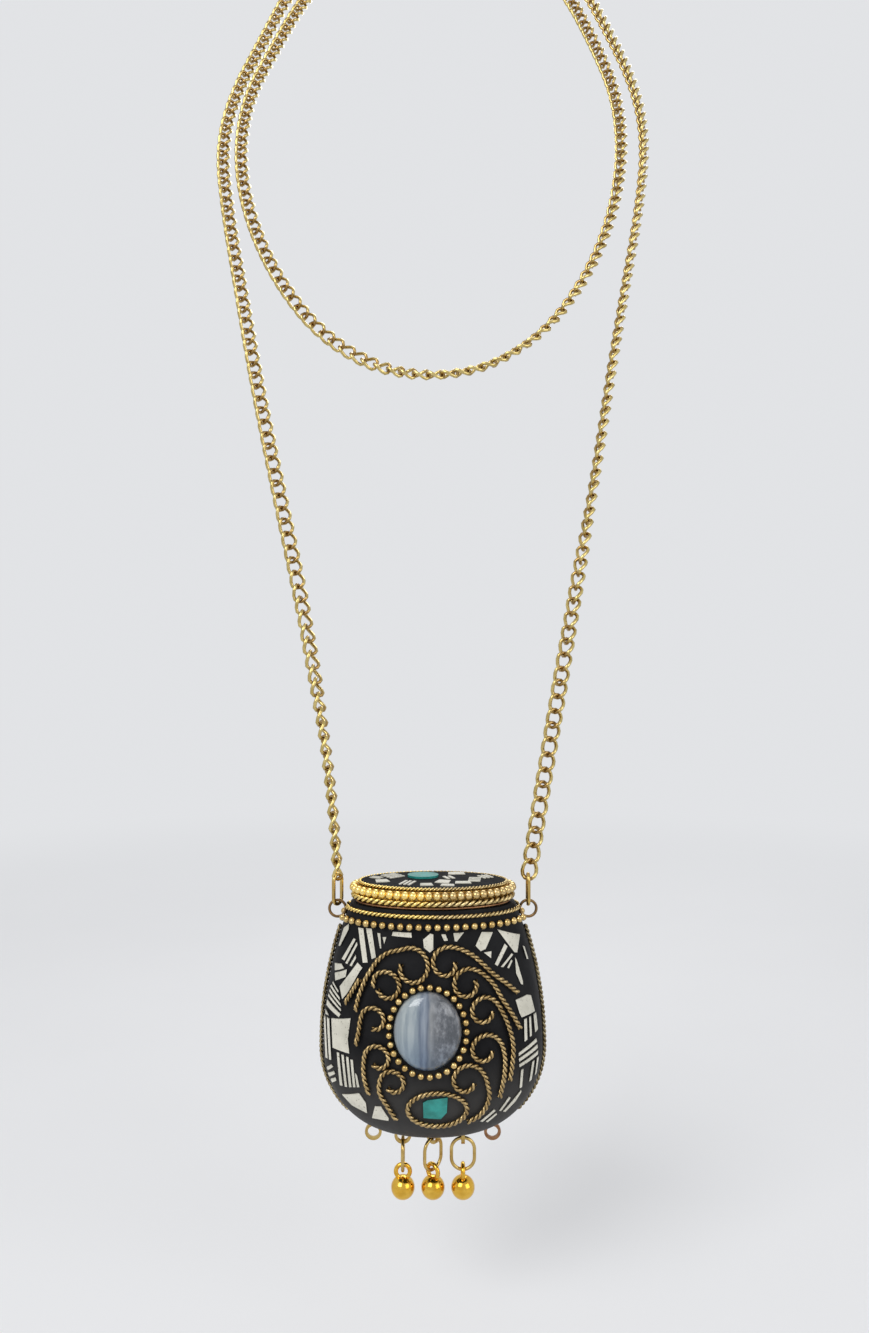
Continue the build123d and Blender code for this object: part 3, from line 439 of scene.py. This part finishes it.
def resin(name, gloss):
    """Black cast resin, a little hazy, with fine scratches, and lightened to grey towards the foot by
    painted sheen, in uneven patches.
    """
    material, shader, add, link = blank(name, 0.0, 0.4)
    colour = fade(add, grain_of(add, 160.0), [(0.3, (0.004, 0.004, 0.005)), (0.75, (0.014, 0.014, 0.015))])
    coords = add("ShaderNodeTexCoord").outputs["Object"]
    height = add("ShaderNodeSeparateXYZ", {"Vector": coords}).outputs["Z"]
    # Painted sheen: lighter grey towards the foot, standing for reflected light
    inputs = {"Value": height, "From Min": MOUTH.z - PAINTED_SHEEN_START, "From Max": MOUTH.z - PAINTED_SHEEN_FULL}
    low = add("ShaderNodeMapRange", inputs, interpolation_type="SMOOTHSTEP").outputs["Result"]
    patchy = span(add, grain_of(add, 240.0), 0.6, 1.1)
    painted_light_mask = add("ShaderNodeMath", {0: low, 1: patchy}, operation="MULTIPLY", use_clamp=True).outputs[0]
    link(blend(add, painted_light_mask, colour, PAINTED_SHEEN_GREY), shader.inputs["Base Color"])
    link(span(add, grain_of(add, 700.0), 0.42, 0.66), shader.inputs["Roughness"])
    shader.inputs["Specular IOR Level"].default_value = gloss
    roughen(add, link, shader, 380.0, 0.2 * MM, 0.25)
    return material


def bone(name):
    """Off-white chips, cloudy and speckled with grey."""
    material, shader, add, link = blank(name, 0.0, 0.38)
    cloud = fade(add, grain_of(add, 140.0), [(0.32, (0.58, 0.56, 0.47)), (0.68, (0.8, 0.77, 0.66))])
    specks = fade(add, grain_of(add, 1900.0, 2.0), [(0.28, (0.45, 0.43, 0.4)), (0.38, (1, 1, 1))])
    link(blend(add, 1.0, cloud, specks, "MULTIPLY"), shader.inputs["Base Color"])
    link(span(add, grain_of(add, 800.0), 0.25, 0.55), shader.inputs["Roughness"])
    roughen(add, link, shader, 1300.0, 0.1 * MM, 0.2)
    return material


def banded_stone(name, low, high):
    """Polished blue-grey stone: pale on the left, a dark upright band, and a mottled right half, with
    painted shade darkening it towards the bottom.
    """
    material, shader, add, link = blank(name, 0.0, 0.14)
    coords = add("ShaderNodeTexCoord").outputs["Object"]
    place = add("ShaderNodeSeparateXYZ", {"Vector": coords}).outputs
    inputs = {"Value": place["X"], "From Min": low.x, "From Max": high.x}
    across = add("ShaderNodeMapRange", inputs).outputs["Result"]
    drift = span(add, grain_of(add, 260.0, 3.0, 0.5, (1, 1, 0.15)), -0.09, 0.09)
    across = add("ShaderNodeMath", {0: across, 1: drift}, operation="ADD").outputs[0]
    bands = fade(add, across, [
        (0.0, (0.22, 0.26, 0.29)), (0.15, (0.4, 0.45, 0.46)), (0.35, (0.34, 0.39, 0.42)),
        (0.39, (0.17, 0.21, 0.27)), (0.44, (0.27, 0.31, 0.37)), (0.49, (0.13, 0.16, 0.21)),
        (0.54, (0.3, 0.31, 0.32)), (1.0, (0.22, 0.23, 0.25)),
    ])
    streaks = fade(add, grain_of(add, 900.0, 3.0, 0.6, (1, 1, 0.06)), [
        (0.35, (0.68, 0.72, 0.77)), (0.62, (1, 1, 1)),
    ])
    bands = blend(add, 1.0, bands, streaks, "MULTIPLY")
    flecks = fade(add, grain_of(add, 620.0, 5.0, 0.65, (1, 1, 0.6)), [
        (0.4, (0.035, 0.042, 0.052)), (0.5, (0.095, 0.102, 0.117)), (0.64, (0.27, 0.28, 0.3)),
    ])
    inputs = {"Value": across, "From Min": 0.5, "From Max": 0.66, "To Max": 0.8}
    mottled = add("ShaderNodeMapRange", inputs).outputs["Result"]
    colour = blend(add, mottled, bands, flecks)
    # Painted shade: the stone is darkened and turned bluer towards its bottom
    inputs = {"Value": place["Z"], "From Min": low.z, "From Max": high.z}
    height = add("ShaderNodeMapRange", inputs).outputs["Result"]
    depth = fade(add, height, [(0.05, (0.5, 0.62, 0.76)), (0.55, (1, 1, 1))])
    link(blend(add, 1.0, colour, depth, "MULTIPLY"), shader.inputs["Base Color"])
    shader.inputs["Coat Weight"].default_value = 0.4
    shader.inputs["Coat Roughness"].default_value = 0.05
    return material


def turquoise(name):
    """Opaque green-blue stone with faint darker clouds."""
    material, shader, add, link = blank(name, 0.0, 0.3)
    colour = fade(add, grain_of(add, 480.0, 5.0), [(0.3, (0.012, 0.2, 0.17)), (0.7, (0.03, 0.35, 0.31))])
    link(colour, shader.inputs["Base Color"])
    link(span(add, grain_of(add, 900.0), 0.2, 0.45), shader.inputs["Roughness"])
    roughen(add, link, shader, 700.0, 0.1 * MM, 0.2)
    return material


# The colour after the roughness, where given, is painted shade for the hollows of the chain's links and the
# grooves of the twisted wires
chain_gold = gilt("chain_gold", (0.72, 0.58, 0.24), (0.52, 0.4, 0.14), 0.2, (0.36, 0.23, 0.08))
antique_gold = gilt("antique_gold", (0.6, 0.44, 0.21), (0.34, 0.23, 0.095), 0.3, (0.018, 0.011, 0.006))
edge_gold = gilt("edge_gold", (0.46, 0.38, 0.22), (0.2, 0.15, 0.075), 0.32, (0.012, 0.009, 0.006))
rim_gold = gilt("rim_gold", (0.74, 0.58, 0.29), (0.46, 0.33, 0.14), 0.26, (0.03, 0.018, 0.008), FRESH_GOLD)
lid_grain_gold = gilt("lid_grain_gold", (0.72, 0.55, 0.27), (0.46, 0.32, 0.13), 0.24, fresh=FRESH_GOLD)
grain_gold = gilt("grain_gold", (0.68, 0.5, 0.22), (0.42, 0.28, 0.1), 0.24)
charm_gold = gilt("charm_gold", (0.8, 0.5, 0.08), (0.66, 0.36, 0.035), 0.15)
ring_gold = gilt("ring_gold", (0.62, 0.45, 0.16), (0.44, 0.29, 0.085), 0.22)
dark_brass = gilt("dark_brass", (0.26, 0.16, 0.07), (0.12, 0.07, 0.03), 0.35)
red_brass = gilt("red_brass", (0.4, 0.22, 0.11), (0.22, 0.1, 0.05), 0.38)
case_brass = gilt("case_brass", (0.6, 0.43, 0.16), (0.4, 0.26, 0.09), 0.35)
black_resin = resin("black_resin", CASE_GLOSS)
rubbed_resin = resin("rubbed_resin", LID_GLOSS)
white_bone = bone("white_bone")
turquoise_stone = turquoise("turquoise_stone")
blue_stone = banded_stone("blue_stone", *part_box("cabochon"))

FINISHES = {
    black_resin: ["resin_ground"],
    rubbed_resin: ["lid_resin"],
    white_bone: ["white_chips", "lid_white_chips", "striped_chips", "lid_striped_chips"],
    blue_stone: ["cabochon"],
    turquoise_stone: ["turquoise_chip", "lid_turquoise"],
    case_brass: ["case_body", "neck_collar", "lid_shell", "case_hinge_leaf", "lid_hinge_leaf", "hinge_pin"],
    red_brass: ["lid_lip_wire", "right_spare_loop"],
    dark_brass: ["left_side_ring", "right_side_ring"],
    ring_gold: [
        "right_oval_link", "charm_loops", "left_spare_loop", "left_charm_ring", "middle_charm_ring",
        "right_charm_ring",
    ],
    charm_gold: ["left_charm_ball", "middle_charm_ball", "right_charm_ball"],
    grain_gold: ["cabochon_grains", "neck_grains"],
    lid_grain_gold: ["lid_grains"],
}
for finish, names in FINISHES.items():
    for name in names:
        nodes[name].data.materials.clear()
        nodes[name].data.materials.append(finish)


# Scrolls, border and the ring round the turquoise, of twisted wire


def front_line(points, lift):
    """A smooth line over the case's front through points in its plane."""
    return smooth_line([on_front(x, z, lift) for x, z in points])


scroll_lift = SCROLL_D / 2 + CHIP_LIFT
for name, rows in (("left_scrolls", LEFT_SCROLLS), ("right_scrolls", RIGHT_SCROLLS)):
    lines = [front_line(scroll_points(*row), scroll_lift) for row in rows]
    twisted_wires(f"{name}_rope", lines, SCROLL_ROPE_D, antique_gold, "case", name)
border = front_line([Vector(p) * MM for p in LEFT_BORDER], scroll_lift)
twisted_wires(
    "left_border_rope", [border], SCROLL_ROPE_D, antique_gold, "case", "left_border_wire",
)
ring_knots = []
for k in range(RING_STEPS + 1):
    angle = 2 * math.pi * k / RING_STEPS - math.pi / 2
    x = TURQUOISE[0] + TURQUOISE_RING[0] * math.cos(angle)
    ring_knots.append(Vector((x, TURQUOISE[1] + TURQUOISE_RING[1] * math.sin(angle))) * MM)
ring_line = front_line(ring_knots, scroll_lift)
twisted_wires(
    "turquoise_rope", [ring_line], SCROLL_ROPE_D, antique_gold, "case", "turquoise_ring",
)


# Ropes round the rim and the neck, which follow the plain wires of the frame


def oval_line(node, diameter, first, last):
    """The middle line of an oval wire, from the width and front of its node, as its back is open."""
    low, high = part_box(node)
    middle = (low + high) / 2
    reach_x = (high.x - low.x - diameter) / 2
    reach_y = MOUTH.y - low.y - diameter / 2
    line = []
    for k in range(OVAL_STEPS + 1):
        angle = math.radians(first + (last - first) * k / OVAL_STEPS)
        x = middle.x + reach_x * math.cos(angle)
        line.append(Vector((x, MOUTH.y + reach_y * math.sin(angle), middle.z)))
    return line


rim = oval_line("lid_rope", ROPE_D, 90 + HINGE_GAP, 450 - HINGE_GAP)
twisted_wires("lid_rim_rope", [rim], ROPE_D, rim_gold, "lid", "lid_rope")
top_frame = oval_line("lid_frame_wire", FRAME_D, 90 + FRAME_GAP, 450 - FRAME_GAP)
twisted_wires("lid_frame_rope", [top_frame], FRAME_D, rim_gold, "lid", "lid_frame_wire")
neck_spans = [
    (180 + SIDE_GAP, 360 - SIDE_GAP), (90 + HINGE_GAP, 180 - SIDE_GAP), (SIDE_GAP, 90 - HINGE_GAP),
]
neck_lines = [oval_line("neck_ropes", NECK_ROPE_D, *part) for part in neck_spans]
twisted_wires("neck_rope", neck_lines, NECK_ROPE_D, rim_gold, "case", "neck_ropes")

# Ropes down the case's sides
edge_lines = []
for sign in (-1, 1):
    line = []
    for k in range(EDGE_STEPS + 1):
        z = -EDGE_TOP - (BELLY_DROP - EDGE_TOP) * k / EDGE_STEPS
        line.append(MOUTH + Vector((sign * (case_radius(z) + EDGE_LIFT), 0, z)))
    for k in range(1, EDGE_STEPS + 1):
        angle = math.radians(EDGE_END * k / EDGE_STEPS)
        x = FOOT_R + (BELLY_R - FOOT_R + EDGE_LIFT) * math.cos(angle)
        z = -BELLY_DROP - (HEIGHT - BELLY_DROP + EDGE_LIFT) * math.sin(angle)
        line.append(MOUTH + Vector((sign * x, 0, z)))
    edge_lines.append(line)
twisted_wires("edge_ropes", edge_lines, EDGE_D, edge_gold, "case", "edge_wires")


# Left oval link


def left_oval():
    """The link's wire: straight limbs between two bows, standing in the side ring."""
    low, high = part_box("left_oval_link")
    foot = Vector(((low.x + high.x) / 2, (low.y + high.y) / 2, low.z + OVAL_D / 2))
    bow = OVAL_WIDTH / 2
    ring = []
    for first, centre_z in ((math.pi, bow), (0, OVAL_LENGTH - bow)):
        for k in range(BOW_STEPS + 1):
            angle = first + math.pi * k / BOW_STEPS
            out = bow * math.cos(angle)
            height = centre_z + bow * math.sin(angle)
            ring.append(foot + Vector((out * math.cos(OVAL_TURN), out * math.sin(OVAL_TURN), height)))
    return tubes([ring], OVAL_D / 2, OVAL_SIDES, closed=True)


add_piece("left_oval", left_oval(), ring_gold, "chain", ["left_oval_link"])


# Curb chain


def chain_turn(share):
    """How far the chain is turned at a share of its length, in radians."""
    for (a, low), (b, high) in zip(CHAIN_TURNS, CHAIN_TURNS[1:]):
        if share <= b:
            part = (share - a) / (b - a)
            part = part * part * (3 - 2 * part)
            return math.radians(low + (high - low) * part)
    return math.radians(CHAIN_TURNS[-1][1])


def curb_link():
    """One twisted link along X, of round wire."""
    ring = []
    for k in range(LINK_STEPS):
        t = 2 * math.pi * k / LINK_STEPS
        x, y = CHAIN_LINK / 2 * math.cos(t), CHAIN_WIDTH / 2 * math.sin(t)
        ring.append(Vector((x, y, CHAIN_WIDTH / 4 * math.sin(2 * t))))
    mesh = tubes([ring], HEX_SHARE * CHAIN_D / 2, LINK_SIDES, closed=True)
    # Painted shade: the height attribute is low at the link's ends and inner side, where the links run
    # through each other, and darkens the gold there
    height = mesh.attributes.new("height", "FLOAT", "POINT")
    for vertex in mesh.vertices:
        height.data[vertex.index].value = abs(vertex.co.y) / (CHAIN_WIDTH / 2)
    return mesh


def chain_end(side):
    """Where the chain's line starts in an oval link."""
    ring_low, ring_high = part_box(f"{side}_side_ring")
    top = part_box(f"{side}_oval_link")[1].z
    return Vector(((ring_low.x + ring_high.x) / 2, MOUTH.y, top - OVAL_D - CHAIN_D / 2 - LINK_PLAY))


route = [chain_end("left")] + [MOUTH + Vector(p) for p in LEFT_STRAND + NECK_LOOP + RIGHT_STRAND]
route.append(chain_end("right"))
chain_curve = bpy.data.curves.new("chain_line", "CURVE")
chain_curve.dimensions = "3D"
chain_curve.resolution_u = CHAIN_SMOOTHNESS
chain_spline = chain_curve.splines.new("NURBS")
chain_spline.points.add(len(route) - 1)
for knot, place in zip(chain_spline.points, route):
    knot.co = (*place, 1)
chain_spline.order_u = 3
chain_spline.use_endpoint_u = True
chain_points = curve_points(chain_curve)
fine, fine_step = even_points(chain_points, CHAIN_D / 2)
chain_length = fine_step * (len(fine) - 1)
link_count = round((chain_length - CHAIN_LINK) / CHAIN_PITCH) + 1
link_step = (chain_length - CHAIN_LINK) / (link_count - 1)
along = directions(fine)
link = curb_link()
chain_mesh = bmesh.new()
for k in range(link_count):
    spot = min(round((CHAIN_LINK / 2 + k * link_step) / fine_step), len(fine) - 1)
    centre, ahead = fine[spot], along[spot]
    up = ahead.cross(FRONT).cross(ahead).normalized()
    side = up.cross(ahead)
    place = Matrix((ahead, side, up)).transposed().to_4x4()
    place = Matrix.Translation(centre) @ place @ Matrix.Rotation(chain_turn(k / link_count), 4, "X")
    copy = link.copy()
    copy.transform(place)
    chain_mesh.from_mesh(copy)
    bpy.data.meshes.remove(copy)
bpy.data.meshes.remove(link)
mesh = bpy.data.meshes.new("curb_chain")
chain_mesh.to_mesh(mesh)
chain_mesh.free()
chain = add_piece(
    "curb_chain", mesh, chain_gold, "chain",
    ["chain_left_strand", "chain_neck_loop", "chain_right_strand"],
)


# Floor, light and camera


def floor_material():
    """Pale matt floor that takes the object's shadow, and fades into the background away from it."""
    material, shader, add, link = blank("pale_floor", 0.0, 0.6)
    paint = fade(add, grain_of(add, 3.0), [(0.3, (0.86, 0.86, 0.87)), (0.7, (0.9, 0.9, 0.91))])
    link(paint, shader.inputs["Base Color"])
    coords = add("ShaderNodeTexCoord").outputs["Object"]
    flat = add("ShaderNodeVectorMath", {0: coords, 1: (1, 1, 0)}, operation="MULTIPLY").outputs[0]
    far = add("ShaderNodeVectorMath", {0: flat}, operation="LENGTH").outputs["Value"]
    inputs = {"Value": far, "From Min": FADE_START, "From Max": FADE_END}
    away = add("ShaderNodeMapRange", inputs, interpolation_type="SMOOTHSTEP")
    rays = add("ShaderNodeLightPath").outputs
    seen = add("ShaderNodeMath", {0: rays["Is Camera Ray"], 1: rays["Is Glossy Ray"]}, operation="MAXIMUM")
    mixed = add("ShaderNodeMath", {0: away.outputs["Result"], 1: seen.outputs[0]}, operation="MULTIPLY")
    pale = add("ShaderNodeEmission", {"Color": BACKGROUND})
    both = add("ShaderNodeMixShader", {0: mixed.outputs[0], 1: shader.outputs[0], 2: pale.outputs[0]})
    link(both.outputs[0], material.node_tree.nodes["Material Output"].inputs["Surface"])
    return material


floor_mesh = bmesh.new()
bmesh.ops.create_grid(floor_mesh, x_segments=1, y_segments=1, size=FLOOR_REACH)
bmesh.ops.translate(floor_mesh, verts=floor_mesh.verts, vec=(0, 0, FLOOR_Z))
mesh = bpy.data.meshes.new("floor")
floor_mesh.to_mesh(mesh)
floor_mesh.free()
mesh.materials.append(floor_material())
floor = bpy.data.objects.new("floor", mesh)
bpy.context.scene.collection.objects.link(floor)

world = bpy.data.worlds.new("studio")
bpy.context.scene.world = world
world.use_nodes = True
tree = world.node_tree
tree.nodes.clear()
shown = tree.nodes.new("ShaderNodeBackground")
shown.inputs["Color"].default_value = BACKGROUND
fill = tree.nodes.new("ShaderNodeBackground")
fill.inputs["Color"].default_value = FILL_COLOUR
fill.inputs["Strength"].default_value = FILL_STRENGTH
path = tree.nodes.new("ShaderNodeLightPath")
seen = path.outputs["Is Camera Ray"]
for ray in ("Is Glossy Ray", "Is Transmission Ray"):
    either = tree.nodes.new("ShaderNodeMath")
    either.operation = "MAXIMUM"
    tree.links.new(seen, either.inputs[0])
    tree.links.new(path.outputs[ray], either.inputs[1])
    seen = either.outputs[0]
choose = tree.nodes.new("ShaderNodeMixShader")
out = tree.nodes.new("ShaderNodeOutputWorld")
tree.links.new(seen, choose.inputs["Fac"])
tree.links.new(fill.outputs[0], choose.inputs[1])
tree.links.new(shown.outputs[0], choose.inputs[2])
tree.links.new(choose.outputs[0], out.inputs["Surface"])

for name, place, size, power in LAMPS:
    lamp = bpy.data.lights.new(name, "AREA")
    lamp.size = size
    lamp.energy = power
    holder = bpy.data.objects.new(name, lamp)
    holder.location = place
    holder.rotation_euler = (LAMP_TARGET - Vector(place)).to_track_quat("-Z", "Y").to_euler()
    bpy.context.scene.collection.objects.link(holder)

camera = bpy.data.cameras.new("camera")
camera.sensor_fit = "VERTICAL"
camera.sensor_height = SENSOR_HEIGHT
camera.lens = SENSOR_HEIGHT * FOCAL / FRAME_HEIGHT
camera.clip_start = 0.01
viewer = bpy.data.objects.new("camera", camera)
viewer.location = CAMERA_PLACE
viewer.rotation_euler = (math.pi / 2, 0, 0)
bpy.context.scene.collection.objects.link(viewer)
bpy.context.scene.camera = viewer
bpy.context.scene.view_settings.view_transform = "Standard"
